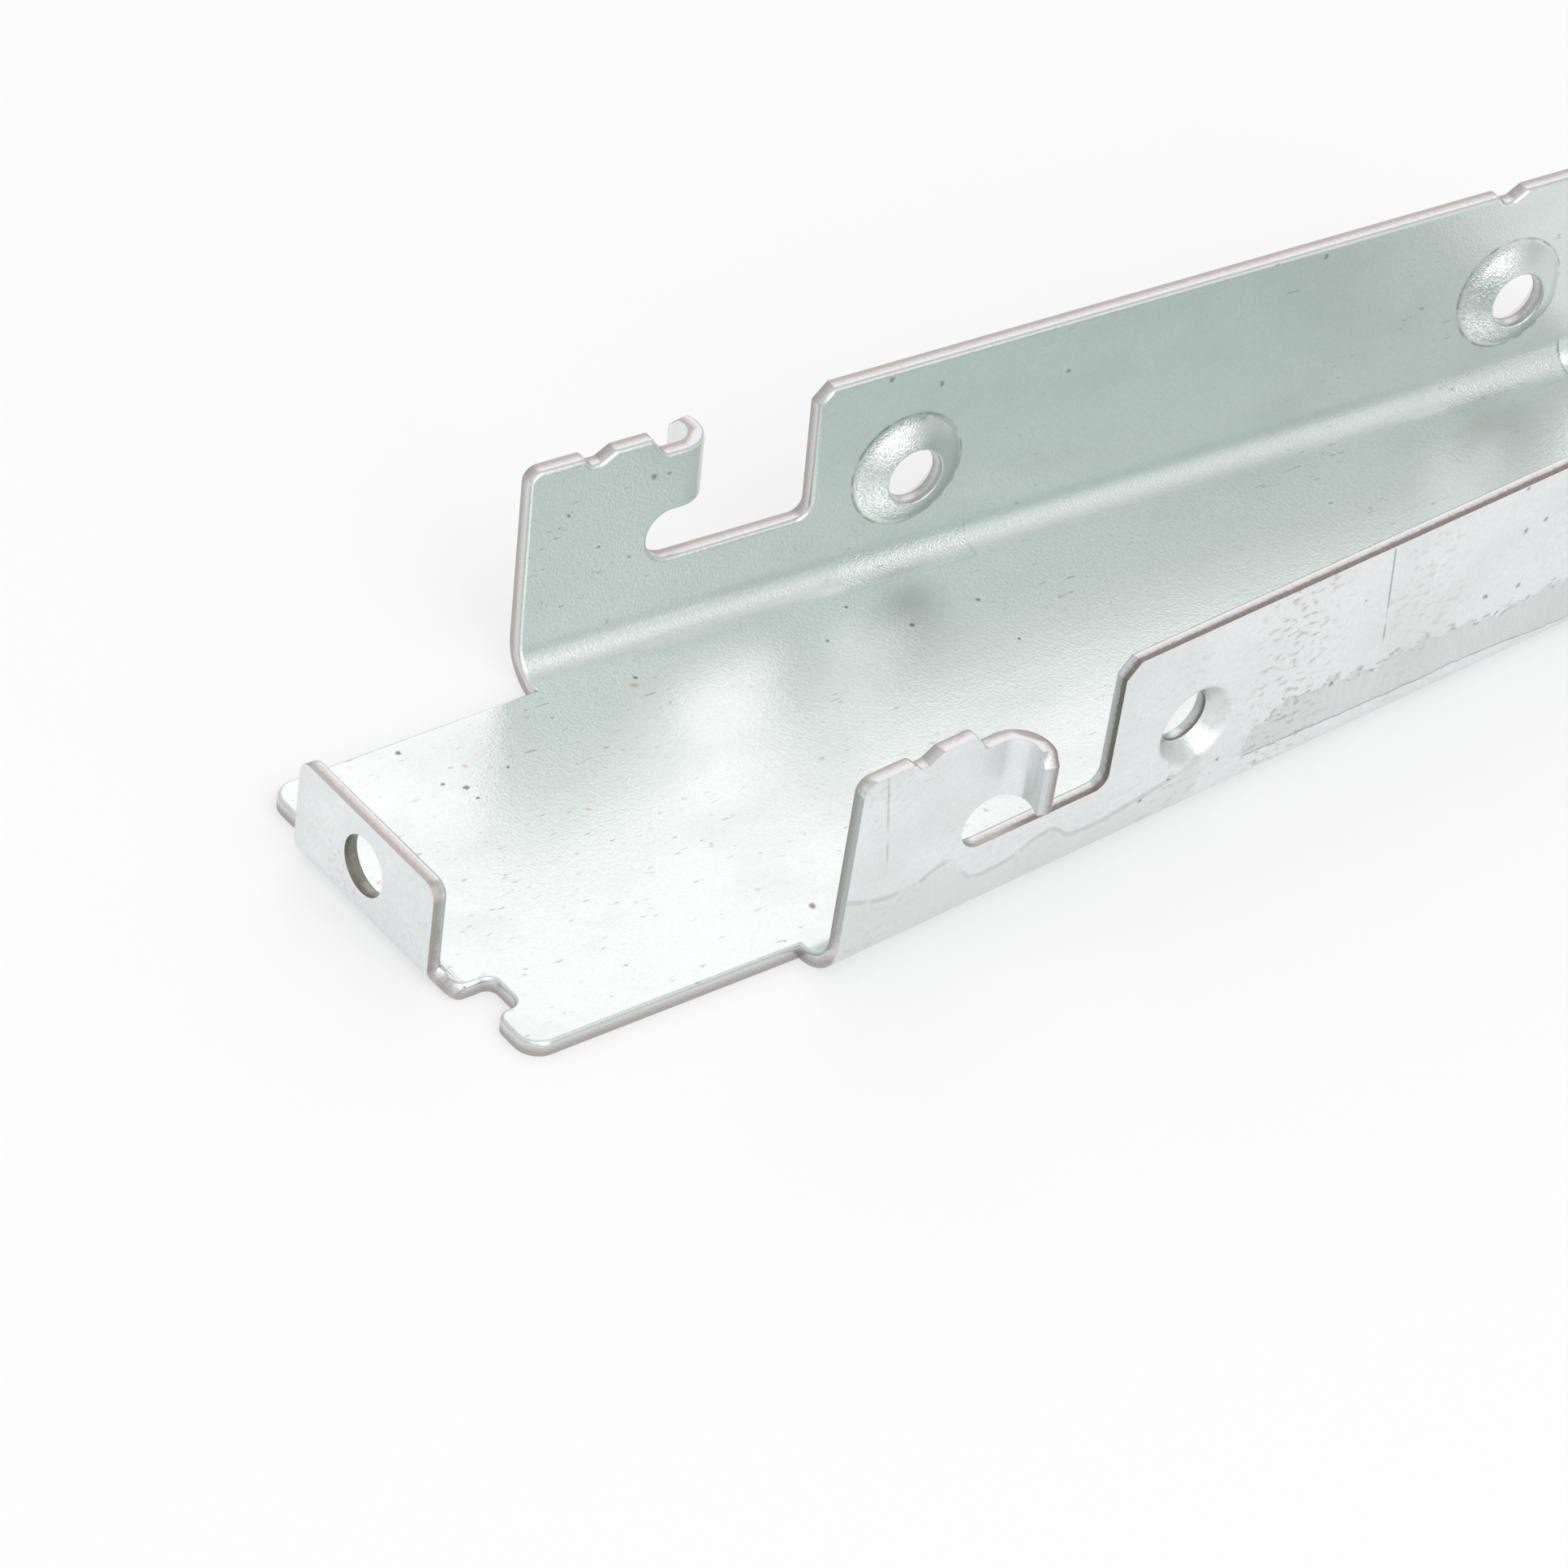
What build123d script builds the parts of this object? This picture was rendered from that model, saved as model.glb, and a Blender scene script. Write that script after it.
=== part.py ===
from build123d import *
from math import cos, radians, sin, tan
import os

# Stamped channel bracket, folded from one sheet of zinc-plated steel.
# A tapered channel lies on its web.  At its wide end the web runs on as a flat tongue, and a drilled
# tab stands up from the tongue's end.  Both walls carry the same cut-outs: a lug with an outward hook,
# an open gap behind the hook, two nicks in the top edge and two holes dimpled into the channel.
# Millimetres and degrees.  X runs along the channel from its wide end, Y across it and Z up.
# The origin is on the underside, on the centre line, level with the walls' ends.

# Sheet and the long bends
SHEET = 1.2
WALL_BEND = 2.3            # radius inside the channel

# Channel
MOUTH_WIDTH = 38.5         # over the walls' feet at the wide end
WALL_LENGTH = 93.0
WALL_HEIGHT = 17.6         # measured up the wall
TAPER = 4.3                # each wall turns in by this much towards the narrow end
LEAN = 2.3                 # each wall opens outwards by this much
END_ROUND = 1.1            # top corner of a wall at the wide end
TOP_CHAMFER = 1.2          # top corners at the gap and at the narrow end

# Nicks in the walls' top edges
FIRST_NICK = 4.95          # start of its floor, along the wall
END_NICK = 10.75           # start of its floor, back from the narrow end
NICK_FLOOR = 0.8
NICK_DEPTH = 0.7
NICK_SIDE = 0.55           # steep side, towards the wide end
NICK_RAMP = 1.15           # easy side
NICK_ROUND = 0.5

# Lug, hook and gap
LUG_END = 9.9              # end of the lug's top edge
LUG_ROUND = 0.35
SHOULDER_ROUND = 0.6
SHOULDER = 11.0            # foot of the slope from the lug down to the hook
SLOT_START = 10.0          # round end of the slot under the hook
SLOT_FLOOR = 7.1
SLOT_HEIGHT = 4.0
HOOK_HEIGHT = 4.95
HOOK_START = 12.6          # where the lug starts to curl outwards
HOOK_BEND = 1.5            # radius in the hook's crook
HOOK_TURN = 110            # the hook curls past a right angle
HOOK_TIP = 1.0             # straight end of the hook
HOOK_CHAMFER = 0.85
GAP_END = 23.5
GAP_ROUND = 1.1

# Dimpled holes
HOLE = 4.1
HOLE_LAND = 0.5            # round part of the hole's wall
HOLE_RIM = 4.5             # the wall breaks out to this width inside the channel
FIRST_HOLE = 31.4
END_HOLE = 9.35            # back from the narrow end
HOLE_HEIGHT = 8.87
DIMPLE = 9.1               # across the ring inside the channel
DIMPLE_DEPTH = 1.3
DIMPLE_CROWN = 0.11        # its side swells into the channel by this much
RIM_ROUND = 0.15
DISH = 6.6                 # across the dish on the outside
DISH_DEPTH = 1.4
DISH_ROUND = 0.8
DIMPLE_MARGIN = 0.5        # flat sheet kept round the ring

# Pads coined into the bend under the holes
PAD_LENGTH = 10.9
PAD_BEND = 2.1             # sharper than the bend itself
PAD_SINK = 0.05            # into the web and the wall

# Tongue
TONGUE_LENGTH = 22.4       # to where the tab's bend starts
TONGUE_WIDTH = 31.5
TONGUE_ROUND = 1.8

# Tab and the reliefs beside it
TAB_WIDTH = 16.0
TAB_OFFSET = 1.9           # from the centre line to the tab's middle
TAB_HEIGHT = 8.6
TAB_BEND = 0.6
TAB_ROUND = 1.2
TAB_HOLE = 4.5
TAB_HOLE_HEIGHT = 4.9
ROOT_STEP = 2.1            # the tab's front edge steps out by this much at its root
ROOT_FILLET = 0.9          # between the tab's edge and the step
ROOT_ROUND = 1.1           # outer corner of the step
RELIEF_DEPTH = 2.1         # into the tongue
FRONT_RELIEF = 3.25
REAR_RELIEF = 1.7
RELIEF_ROUND = 0.8         # at the floor
RELIEF_MOUTH = 1.1         # outer corner, at the tongue's end

NICKS = (FIRST_NICK, WALL_LENGTH - END_NICK)
HOLES = (FIRST_HOLE, WALL_LENGTH - END_HOLE)
OUTER_BEND = WALL_BEND + SHEET
WEB_START = OUTER_BEND * tan(radians(90 - LEAN) / 2)    # inwards from a wall's foot
HOOK_FLOOR = SLOT_FLOOR + SLOT_HEIGHT
HOOK_TOP = HOOK_FLOOR + HOOK_HEIGHT
TAB_FACE = -TONGUE_LENGTH - TAB_BEND - SHEET
TAB_FRONT = TAB_OFFSET - TAB_WIDTH / 2
TAB_REAR = TAB_OFFSET + TAB_WIDTH / 2
ROOT_FRONT = TAB_FRONT - ROOT_STEP
LAP = SHEET                                             # pieces of the web run this far into each other
FLAT = 0.04                                             # kept beside a round that its wall limits
FAR = WALL_LENGTH                                       # cutters reach past every face

# A wall is drawn in its own plane: X along it, Y up it and Z outwards from its outer face.
WALL_PLANE = Plane((0, 0, 0), (1, 0, 0), (0, -cos(radians(LEAN)), -sin(radians(LEAN))))
FRONT_FOOT = Location((0, -MOUTH_WIDTH / 2, 0), (0, 0, TAPER))


def folded(points, radius):
    """Section of the sheet on the right-hand side of a line bent to an inside or crook radius."""
    line = FilletPolyline(*points, radius=radius)
    return make_face(offset(line, SHEET, side=Side.RIGHT))


def round_within(radius, wall):
    """The radius, or the most that the wall beside the round has room for."""
    return min(radius, wall - FLAT)


def corners(sketch, places):
    """The sketch's corners at the given places."""
    return [min(sketch.vertices(), key=lambda v: (Vector(v) - Vector(*p)).length) for p in places]


def nick(start):
    """Corners of one nick in a wall's top edge, whose floor starts at the given place."""
    floor = WALL_HEIGHT - NICK_DEPTH
    end = start + NICK_FLOOR
    return [(start - NICK_SIDE, WALL_HEIGHT), (start, floor), (end, floor), (end + NICK_RAMP, WALL_HEIGHT)]


def wall_outline():
    """Outline of a wall, run down past the web, without the hook."""
    outline = make_face(Polyline(
        (0, -FAR),
        (0, WALL_HEIGHT),
        *nick(NICKS[0]),
        (LUG_END, WALL_HEIGHT),
        (SHOULDER, HOOK_TOP),
        (HOOK_START, HOOK_TOP),
        (HOOK_START, SLOT_FLOOR),
        (GAP_END, SLOT_FLOOR),
        (GAP_END, WALL_HEIGHT),
        *nick(NICKS[1]),
        (WALL_LENGTH, WALL_HEIGHT),
        (WALL_LENGTH, -FAR),
        close=True,
    ))
    rounds = [
        ([(0, WALL_HEIGHT)], END_ROUND),
        ([(LUG_END, WALL_HEIGHT)], LUG_ROUND),
        ([(SHOULDER, HOOK_TOP)], SHOULDER_ROUND),
        ([(GAP_END, SLOT_FLOOR)], GAP_ROUND),
        *[(nick(start), NICK_ROUND) for start in NICKS],
    ]
    for places, radius in rounds:
        outline = fillet(corners(outline, places), radius)
    tops = [(GAP_END, WALL_HEIGHT), (WALL_LENGTH, WALL_HEIGHT)]
    outline = chamfer(corners(outline, tops), TOP_CHAMFER)
    radius = SLOT_HEIGHT / 2
    slot_end = Pos(SLOT_START + radius, SLOT_FLOOR + radius) * Circle(radius)
    slot_run = Pos(SLOT_START + radius, SLOT_FLOOR) * Rectangle(
        HOOK_START - SLOT_START, SLOT_HEIGHT, align=Align.MIN
    )
    return outline - slot_end - slot_run


def folded_wall():
    """Wall, bend and edge of the web, as folded, with the wall's outline cut."""
    top = (-WALL_HEIGHT * sin(radians(LEAN)), WALL_HEIGHT * cos(radians(LEAN)))
    section = folded([(WEB_START + LAP, 0), (0, 0), top], OUTER_BEND)
    return extrude(Plane.YZ * section, WALL_LENGTH) & WALL_PLANE * extrude(wall_outline(), FAR, both=True)


def hook():
    """Hook bent outwards from the end of the lug, in the wall's coordinates."""
    turn = radians(HOOK_TURN)
    run = HOOK_BEND * tan(turn / 2)
    corner = HOOK_START + run
    tip = (corner + (run + HOOK_TIP) * cos(turn), (run + HOOK_TIP) * sin(turn))
    section = folded([(SHOULDER, 0), (corner, 0), tip], HOOK_BEND)
    body = extrude(Plane.XZ.offset(-HOOK_TOP) * section, HOOK_HEIGHT)
    end_face = body.faces().sort_by(Axis.Z)[-1]
    return chamfer(end_face.edges().sort_by(Axis.Y)[-1], HOOK_CHAMFER)


def dimple():
    """Disc of sheet dished into the channel round its hole, in the wall's coordinates."""
    rim = -SHEET - DIMPLE_DEPTH
    edge = DIMPLE / 2 + DIMPLE_MARGIN
    swell = SagittaArc((HOLE_RIM / 2, rim), (DIMPLE / 2, -SHEET), -DIMPLE_CROWN)
    rest = Polyline(
        (DIMPLE / 2, -SHEET),
        (edge, -SHEET),
        (edge, 0),
        (DISH / 2, 0),
        (HOLE / 2, -DISH_DEPTH),
        (HOLE / 2, -DISH_DEPTH - HOLE_LAND),
        (HOLE_RIM / 2, rim),
    )
    section = make_face(swell + rest)
    section = fillet(corners(section, [(DISH / 2, 0)]), DISH_ROUND)
    section = fillet(corners(section, [(HOLE_RIM / 2, rim)]), RIM_ROUND)
    return revolve(Plane.XZ * section, Axis.Z)


def pad_cutter():
    """Round bar that sharpens the inside of the bend, centred on its own length along X."""
    inside = SHEET + PAD_BEND - PAD_SINK
    across = inside * tan(radians(90 - LEAN) / 2)
    return Pos(0, across, inside) * Rotation(0, 90, 0) * Cylinder(PAD_BEND, PAD_LENGTH)


def wall():
    """One whole wall, standing over the X axis with the web towards +Y."""
    body = folded_wall() + WALL_PLANE * hook()
    blank = Pos(0, 0, -SHEET / 2) * Cylinder(DIMPLE / 2 + DIMPLE_MARGIN, SHEET)
    for along in HOLES:
        place = WALL_PLANE * Pos(along, HOLE_HEIGHT, 0)
        body = body - Pos(along, 0, 0) * pad_cutter()
        body = body - place * blank + place * dimple()
    return body


def web():
    """Flat web between the two bends, with the tongue and the reliefs beside its tab."""
    inner = [FRONT_FOOT * Pos(along, WEB_START, 0) for along in (0, WALL_LENGTH)]
    (x0, y0, _), (x1, y1, _) = [tuple(place.position) for place in inner]
    plate = make_face(Polyline((x0, y0), (x1, y1), (x1, -y1), (x0, -y0), close=True))
    tongue = Pos(-TONGUE_LENGTH, 0) * Rectangle(
        TONGUE_LENGTH + LAP, TONGUE_WIDTH, align=(Align.MIN, Align.CENTER)
    )
    ears = [(-TONGUE_LENGTH, side * TONGUE_WIDTH / 2) for side in (-1, 1)]
    tongue = fillet(corners(tongue, ears), TONGUE_ROUND)
    front_mouth = ROOT_FRONT - FRONT_RELIEF
    for start, width in ((front_mouth, FRONT_RELIEF), (TAB_REAR, REAR_RELIEF)):
        relief = Pos(-TONGUE_LENGTH - LAP, start) * Rectangle(RELIEF_DEPTH + LAP, width, align=Align.MIN)
        floor = relief.vertices().group_by(Axis.X)[-1]
        tongue = tongue - fillet(floor, round_within(RELIEF_ROUND, width / 2))
    for mouth in (front_mouth, TAB_REAR + REAR_RELIEF):
        lug = TONGUE_WIDTH / 2 - abs(mouth)
        radius = round_within(RELIEF_MOUTH, min(lug - TONGUE_ROUND, RELIEF_DEPTH - RELIEF_ROUND))
        tongue = fillet(corners(tongue, [(-TONGUE_LENGTH, mouth)]), radius)
    return extrude(plate + tongue, SHEET)


def root_outline():
    """Outline of the tab and its root, seen along the middle of the bend between tab and tongue."""
    outline = make_face(Polyline(
        (TAB_REAR, -FAR),
        (TAB_REAR, FAR),
        (TAB_FRONT, FAR),
        (TAB_FRONT, 0),
        (ROOT_FRONT, 0),
        (ROOT_FRONT, -FAR),
        close=True,
    ))
    outline = fillet(corners(outline, [(TAB_FRONT, 0)]), ROOT_FILLET)
    return fillet(corners(outline, [(ROOT_FRONT, 0)]), round_within(ROOT_ROUND, ROOT_STEP - ROOT_FILLET))


def tab():
    """Drilled tab bent up from the tongue's end, with a rounded step at the front of its root."""
    section = folded([(LAP - TONGUE_LENGTH, 0), (TAB_FACE, 0), (TAB_FACE, TAB_HEIGHT)], TAB_BEND + SHEET)
    strip = extrude(Plane.XZ.offset(-TAB_REAR) * section, TAB_WIDTH + ROOT_STEP)
    bend_axis = Plane((-TONGUE_LENGTH, 0, SHEET + TAB_BEND), (0, 1, 0), (1, 0, 1))
    body = strip & bend_axis * extrude(root_outline(), FAR, both=True)
    top_corners = body.edges().filter_by(Axis.X).group_by(Axis.Z)[-1]
    drill = Rotation(0, 90, 0) * Cylinder(TAB_HOLE / 2, 2 * SHEET + TAB_BEND)
    return fillet(top_corners, TAB_ROUND) - Pos(TAB_FACE, TAB_OFFSET, TAB_HOLE_HEIGHT) * drill


def bracket():
    """The whole folded sheet."""
    front = FRONT_FOOT * wall()
    return web() + front + mirror(front, Plane.XZ) + tab()


os.makedirs("parts", exist_ok=True)
body = bracket()
export_step(body, "parts/channel_bracket.step")
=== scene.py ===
"""Dressed model of a stamped channel bracket: one folded sheet of electro-galvanised steel.

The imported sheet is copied, its sheared edges are given the soft draw-in and the sharp burr
that a punch leaves, and its two skins and its edges are finished.  Everything is in metres,
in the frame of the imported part.
"""

import logging
import math
from dataclasses import dataclass
from enum import Enum
from typing import Any

import bmesh
import bpy
from mathutils import Euler, Matrix, Vector
from mathutils.bvhtree import BVHTree


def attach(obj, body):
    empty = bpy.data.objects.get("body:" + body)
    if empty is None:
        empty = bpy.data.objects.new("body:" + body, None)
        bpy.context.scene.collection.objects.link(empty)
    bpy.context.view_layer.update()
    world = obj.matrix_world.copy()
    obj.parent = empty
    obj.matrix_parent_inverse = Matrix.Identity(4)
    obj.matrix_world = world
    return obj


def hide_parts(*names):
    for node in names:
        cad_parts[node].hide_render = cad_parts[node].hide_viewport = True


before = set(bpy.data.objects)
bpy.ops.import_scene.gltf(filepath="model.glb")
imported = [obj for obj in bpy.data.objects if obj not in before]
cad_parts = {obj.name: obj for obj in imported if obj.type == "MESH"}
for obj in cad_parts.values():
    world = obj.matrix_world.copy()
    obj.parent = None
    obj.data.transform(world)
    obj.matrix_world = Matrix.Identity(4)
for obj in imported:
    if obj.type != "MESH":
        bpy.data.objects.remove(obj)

LOG = logging.getLogger("bracket")
MM = 0.001     # metres in a millimetre
UM = 1e-6      # metres in a micrometre
NODE = "channel_bracket"
BODY = "root"

Socket = bpy.types.NodeSocket
Wall = dict[str, Socket]
Pair = tuple[float, float]
Triple = tuple[float, float, float]
Points = tuple[Pair, ...]
Spots = tuple[Triple, ...]


class Surface(Enum):
    """Which of the sheet's surfaces a face lies on, and the slot that its finish takes."""

    CHANNEL_SIDE = 0
    OUTSIDE = 1
    SHEARED = 2


def linear(colour: str) -> tuple[float, float, float, float]:
    """Turns an sRGB hex colour into the linear colour that a shader takes.

    Args:
        colour: The colour as "#RRGGBB".

    Returns:
        Linear red, green and blue, and an alpha of 1.
    """
    parts = [int(colour[i:i + 2], 16) / 255 for i in (1, 3, 5)]
    red, green, blue = [c / 12.92 if c <= 0.04045 else ((c + 0.055) / 1.055) ** 2.4 for c in parts]
    return red, green, blue, 1.0


def per_metre(size_mm: float) -> float:
    """Scale of a pattern whose repeat is the given real size in millimetres."""
    return 1000 / size_mm


def add_node(
    tree: bpy.types.NodeTree,
    kind: str,
    settings: dict[str, Any] | None = None,
    inputs: dict[str | int, Any] | None = None,
) -> bpy.types.Node:
    """Adds a shader node with its settings and its links.

    Args:
        tree: The node tree that takes the node.
        kind: Type of the node, without its leading "ShaderNode".
        settings: Properties of the node and their values.
        inputs: A value or another node's output for each input, by name or place.

    Returns:
        The new node.
    """
    node = tree.nodes.new(f"ShaderNode{kind}")
    for name, value in (settings or {}).items():
        setattr(node, name, value)
    for key, value in (inputs or {}).items():
        if isinstance(value, Socket):
            tree.links.new(value, node.inputs[key])
        else:
            node.inputs[key].default_value = value
    return node


def new_material(name: str) -> tuple[bpy.types.Material, bpy.types.NodeTree]:
    """Starts a material with an empty node tree.

    Args:
        name: Name of the material.

    Returns:
        The material and its node tree.
    """
    material = bpy.data.materials.new(name)
    material.use_nodes = True
    material.node_tree.nodes.clear()
    return material, material.node_tree


@dataclass(frozen=True)
class WallPlace:
    """The frame of a wall's outer face: along it from the wide end, up it, and out of it.

    Attributes:
        mouth: Width over the walls' feet at the wide end.
        taper: Angle by which each wall turns in, in degrees.
        lean: Angle by which each wall opens outwards, in degrees.
        holes_along: Places of a wall's holes along it.
        hole_height: Height of the holes up the wall.
    """

    mouth: float = 38.5 * MM
    taper: float = 4.3
    lean: float = 2.3
    holes_along: tuple[float, ...] = (31.4 * MM, 83.65 * MM)
    hole_height: float = 8.87 * MM

    def axes(self, side: int) -> tuple[Vector, Vector, Vector, Vector]:
        """The foot of a wall and its three directions.

        Args:
            side: -1 for the front wall and 1 for the rear wall.

        Returns:
            The foot at the wide end, and the directions along, up and out.
        """
        turn, lean = math.radians(self.taper), math.radians(self.lean)
        along = Vector((math.cos(turn), -side * math.sin(turn), 0))
        level = Vector((math.sin(turn), side * math.cos(turn), 0))
        up = level * math.sin(lean) + Vector((0, 0, math.cos(lean)))
        out = level * math.cos(lean) - Vector((0, 0, math.sin(lean)))
        return Vector((0, side * self.mouth / 2, 0)), along, up, out

    def holes(self) -> list[tuple[Vector, Vector]]:
        """Finds the axes of the holes of both walls.

        Returns:
            A point on each axis and the axis's direction out of the wall.
        """
        found = []
        for side in (-1, 1):
            foot, along, up, out = self.axes(side)
            found += [(foot + along * place + up * self.hole_height, out) for place in self.holes_along]
        return found

    def sockets(self, tree: bpy.types.NodeTree, both: bool) -> Wall:
        """Places every point in the front wall's frame, in metres.

        Args:
            tree: The node tree to build in.
            both: Whether the rear half is mirrored onto the front wall.

        Returns:
            The place as a vector, and its parts along, up and out.
        """
        place = add_node(tree, "TexCoord").outputs["Object"]
        if both:
            parts = add_node(tree, "SeparateXYZ", {}, {0: place})
            depth = add_node(tree, "Math", {"operation": "ABSOLUTE"}, {0: parts.outputs["Y"]})
            front = add_node(tree, "Math", {"operation": "MULTIPLY"}, {0: depth.outputs[0], 1: -1.0})
            place = add_node(tree, "CombineXYZ", {}, {
                "X": parts.outputs["X"], "Y": front.outputs[0], "Z": parts.outputs["Z"],
            }).outputs[0]
        foot, along, up, out = self.axes(-1)
        turned = Matrix((along, up, out)).transposed().to_euler()
        local = add_node(tree, "Mapping", {"vector_type": "TEXTURE"}, {
            "Vector": place, "Location": foot, "Rotation": turned,
        }).outputs[0]
        parts = add_node(tree, "SeparateXYZ", {}, {0: local}).outputs
        return {"place": local, "along": parts["X"], "up": parts["Y"], "out": parts["Z"]}


@dataclass(frozen=True)
class Painter:
    """Draws the masks, colours and reliefs of one finish.

    Attributes:
        tree: The node tree that it draws in.
        stray: How far the outline of a single spot strays.
        ragged_mm: Size of the notches in that outline, in millimetres.
        core: Share of a spot's radius within which the spot is full.
    """

    tree: bpy.types.NodeTree
    stray: float = 0.4 * MM
    ragged_mm: float = 0.45
    core: float = 0.3

    def step(self, value: Socket | float, start: float, end: float) -> Socket:
        """Mask that rises softly from 0 at the start to 1 at the end, or falls if the end is lower.

        Args:
            value: The value to step.
            start: Value at which the mask is 0.
            end: Value at which the mask is 1.

        Returns:
            The mask.
        """
        low, high = min(start, end), max(start, end)
        bottom, top = (0.0, 1.0) if start < end else (1.0, 0.0)
        return add_node(self.tree, "MapRange", {"interpolation_type": "SMOOTHSTEP"}, {
            "Value": value, "From Min": low, "From Max": high, "To Min": bottom, "To Max": top,
        }).outputs["Result"]

    def patches(self, place: Socket, size_mm: Triple, limits: Pair, detail: float = 3.0) -> Socket:
        """Mask of ragged patches that may be drawn out in one direction.

        Args:
            place: Where the pattern lies.
            size_mm: Size of the patches in the three directions, in millimetres.
            limits: Values of the noise at which a patch starts and is full.
            detail: Octaves of finer noise in the outline.

        Returns:
            The mask.
        """
        drawn = add_node(self.tree, "VectorMath", {"operation": "MULTIPLY"}, {
            0: place, 1: tuple(per_metre(size) for size in size_mm),
        })
        noise = add_node(self.tree, "TexNoise", {}, {
            "Vector": drawn.outputs[0], "Scale": 1.0, "Detail": detail,
        })
        return self.step(noise.outputs["Fac"], *limits)

    def combine(self, operation: str, masks: list[Socket | float]) -> Socket:
        """Folds several masks or values into one.

        Args:
            operation: The operation, by its name in Blender.
            masks: The masks or values.

        Returns:
            The joined mask.
        """
        joined = masks[0]
        for mask in masks[1:]:
            joined = add_node(self.tree, "Math", {"operation": operation}, {0: joined, 1: mask}).outputs[0]
        return joined

    def times(self, *masks: Socket | float) -> Socket:
        """The masks or values multiplied, which is 1 where all the masks hold."""
        return self.combine("MULTIPLY", list(masks))

    def most(self, *masks: Socket | float) -> Socket:
        """The greatest of the masks or values, which is 1 where any mask holds."""
        return self.combine("MAXIMUM", list(masks))

    def unsigned(self, value: Socket) -> Socket:
        """The value without its sign."""
        return add_node(self.tree, "Math", {"operation": "ABSOLUTE"}, {0: value}).outputs[0]

    def distance(self, place: Socket, centre: Vector | Triple) -> Socket:
        """Distance of each place from a centre."""
        node = add_node(self.tree, "VectorMath", {"operation": "DISTANCE"}, {0: place, 1: centre})
        return node.outputs["Value"]

    def spots(self, place: Socket, spots_mm: Spots, height_mm: float) -> Socket:
        """Mask of single ragged spots.

        Args:
            place: Where the spots lie.
            spots_mm: Two coordinates and the radius of each spot, in millimetres.
            height_mm: Third coordinate of all the spots, in millimetres.

        Returns:
            The mask.
        """
        ragged = add_node(self.tree, "TexNoise", {}, {
            "Vector": place, "Scale": per_metre(self.ragged_mm), "Detail": 2.0,
        })
        shift = add_node(self.tree, "VectorMath", {"operation": "SCALE"}, {
            0: ragged.outputs["Color"], "Scale": self.stray,
        })
        moved = add_node(self.tree, "VectorMath", {"operation": "ADD"}, {0: place, 1: shift.outputs[0]})
        masks = []
        for first, second, radius in spots_mm:
            centre = Vector((first, second, height_mm)) * MM + Vector((self.stray,) * 3) / 2
            away = self.distance(moved.outputs[0], centre)
            masks.append(self.step(away, radius * MM, self.core * radius * MM))
        return self.most(*masks)

    def hole_distance(self, wall: Wall, holes: WallPlace) -> Socket:
        """Distance from the axis of the nearest hole of a wall.

        Args:
            wall: The place in the wall's frame.
            holes: Where the holes are.

        Returns:
            The distance in metres.
        """
        flat = add_node(self.tree, "CombineXYZ", {}, {"X": wall["along"], "Y": wall["up"]}).outputs[0]
        centres = [(along, holes.hole_height, 0.0) for along in holes.holes_along]
        return self.combine("MINIMUM", [self.distance(flat, centre) for centre in centres])

    def drawn_line(self, along: Socket, points_mm: Points) -> Socket:
        """Height of a drawn line over each place along a wall, in metres.

        Args:
            along: The place along the wall.
            points_mm: Place along the wall and height of the points of the line, in millimetres.

        Returns:
            The height.
        """
        length, height = 100 * MM, 20 * MM      # what a share of 1 stands for in the curve
        share = self.combine("DIVIDE", [along, length])
        node = add_node(self.tree, "FloatCurve", {}, {"Value": share})
        curve = node.mapping.curves[0]
        while len(curve.points) < len(points_mm):
            curve.points.new(0.5, 0.5)
        for point, (place, rise) in zip(curve.points, points_mm):
            point.location = (place * MM / length, rise * MM / height)
        node.mapping.update()
        return self.times(node.outputs[0], height)

    def thin_line(self, away: Socket, width: float) -> Socket:
        """Mask of a thin soft line, from the distance to its middle.

        Args:
            away: Distance to the line, of either sign.
            width: Width of the line.

        Returns:
            The mask.
        """
        return self.step(self.unsigned(away), width / 2, width / 8)

    def layered(self, base: str, layers: list[tuple[Socket, str, float]]) -> Socket:
        """Paints colours over each other.

        Args:
            base: The colour underneath.
            layers: The mask, the colour and the greatest share of each layer, from the lowest up.

        Returns:
            The colour.
        """
        colour = linear(base)
        for mask, tint, share in layers:
            part = self.times(mask, share)
            mix = add_node(self.tree, "Mix", {"data_type": "RGBA"}, {0: part, 6: colour, 7: linear(tint)})
            colour = mix.outputs[2]
        return colour

    def relief(self, layers: list[tuple[Socket, float]]) -> Socket:
        """Normal bent by several reliefs, one over the other.

        Args:
            layers: The pattern and the height of each relief, in metres.

        Returns:
            The normal.
        """
        normal = None
        for pattern, height in layers:
            inputs = {"Strength": 1.0, "Distance": height, "Height": pattern}
            if normal is not None:
                inputs["Normal"] = normal
            normal = add_node(self.tree, "Bump", {}, inputs).outputs["Normal"]
        return normal

    def metal(self, colour: Socket, roughness: Socket, normal: Socket) -> None:
        """Ends the tree in a metal.

        Args:
            colour: Colour of the metal.
            roughness: Roughness of the metal.
            normal: Normal of the surface.
        """
        shader = add_node(self.tree, "BsdfPrincipled", {}, {
            "Base Color": colour, "Metallic": 1.0, "Roughness": roughness, "Normal": normal,
        })
        add_node(self.tree, "OutputMaterial", {}, {"Surface": shader.outputs["BSDF"]})

    def rough_value(self, base: float, layers: list[tuple[Socket, float]]) -> Socket:
        """Roughness that grows where the surface is worn or grainy.

        Args:
            base: Roughness of the clean surface.
            layers: The mask and the added roughness of each layer.

        Returns:
            The roughness.
        """
        total = base
        for mask, more in layers:
            part = self.times(mask, more)
            total = self.combine("ADD", [part, total])
        return total


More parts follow.
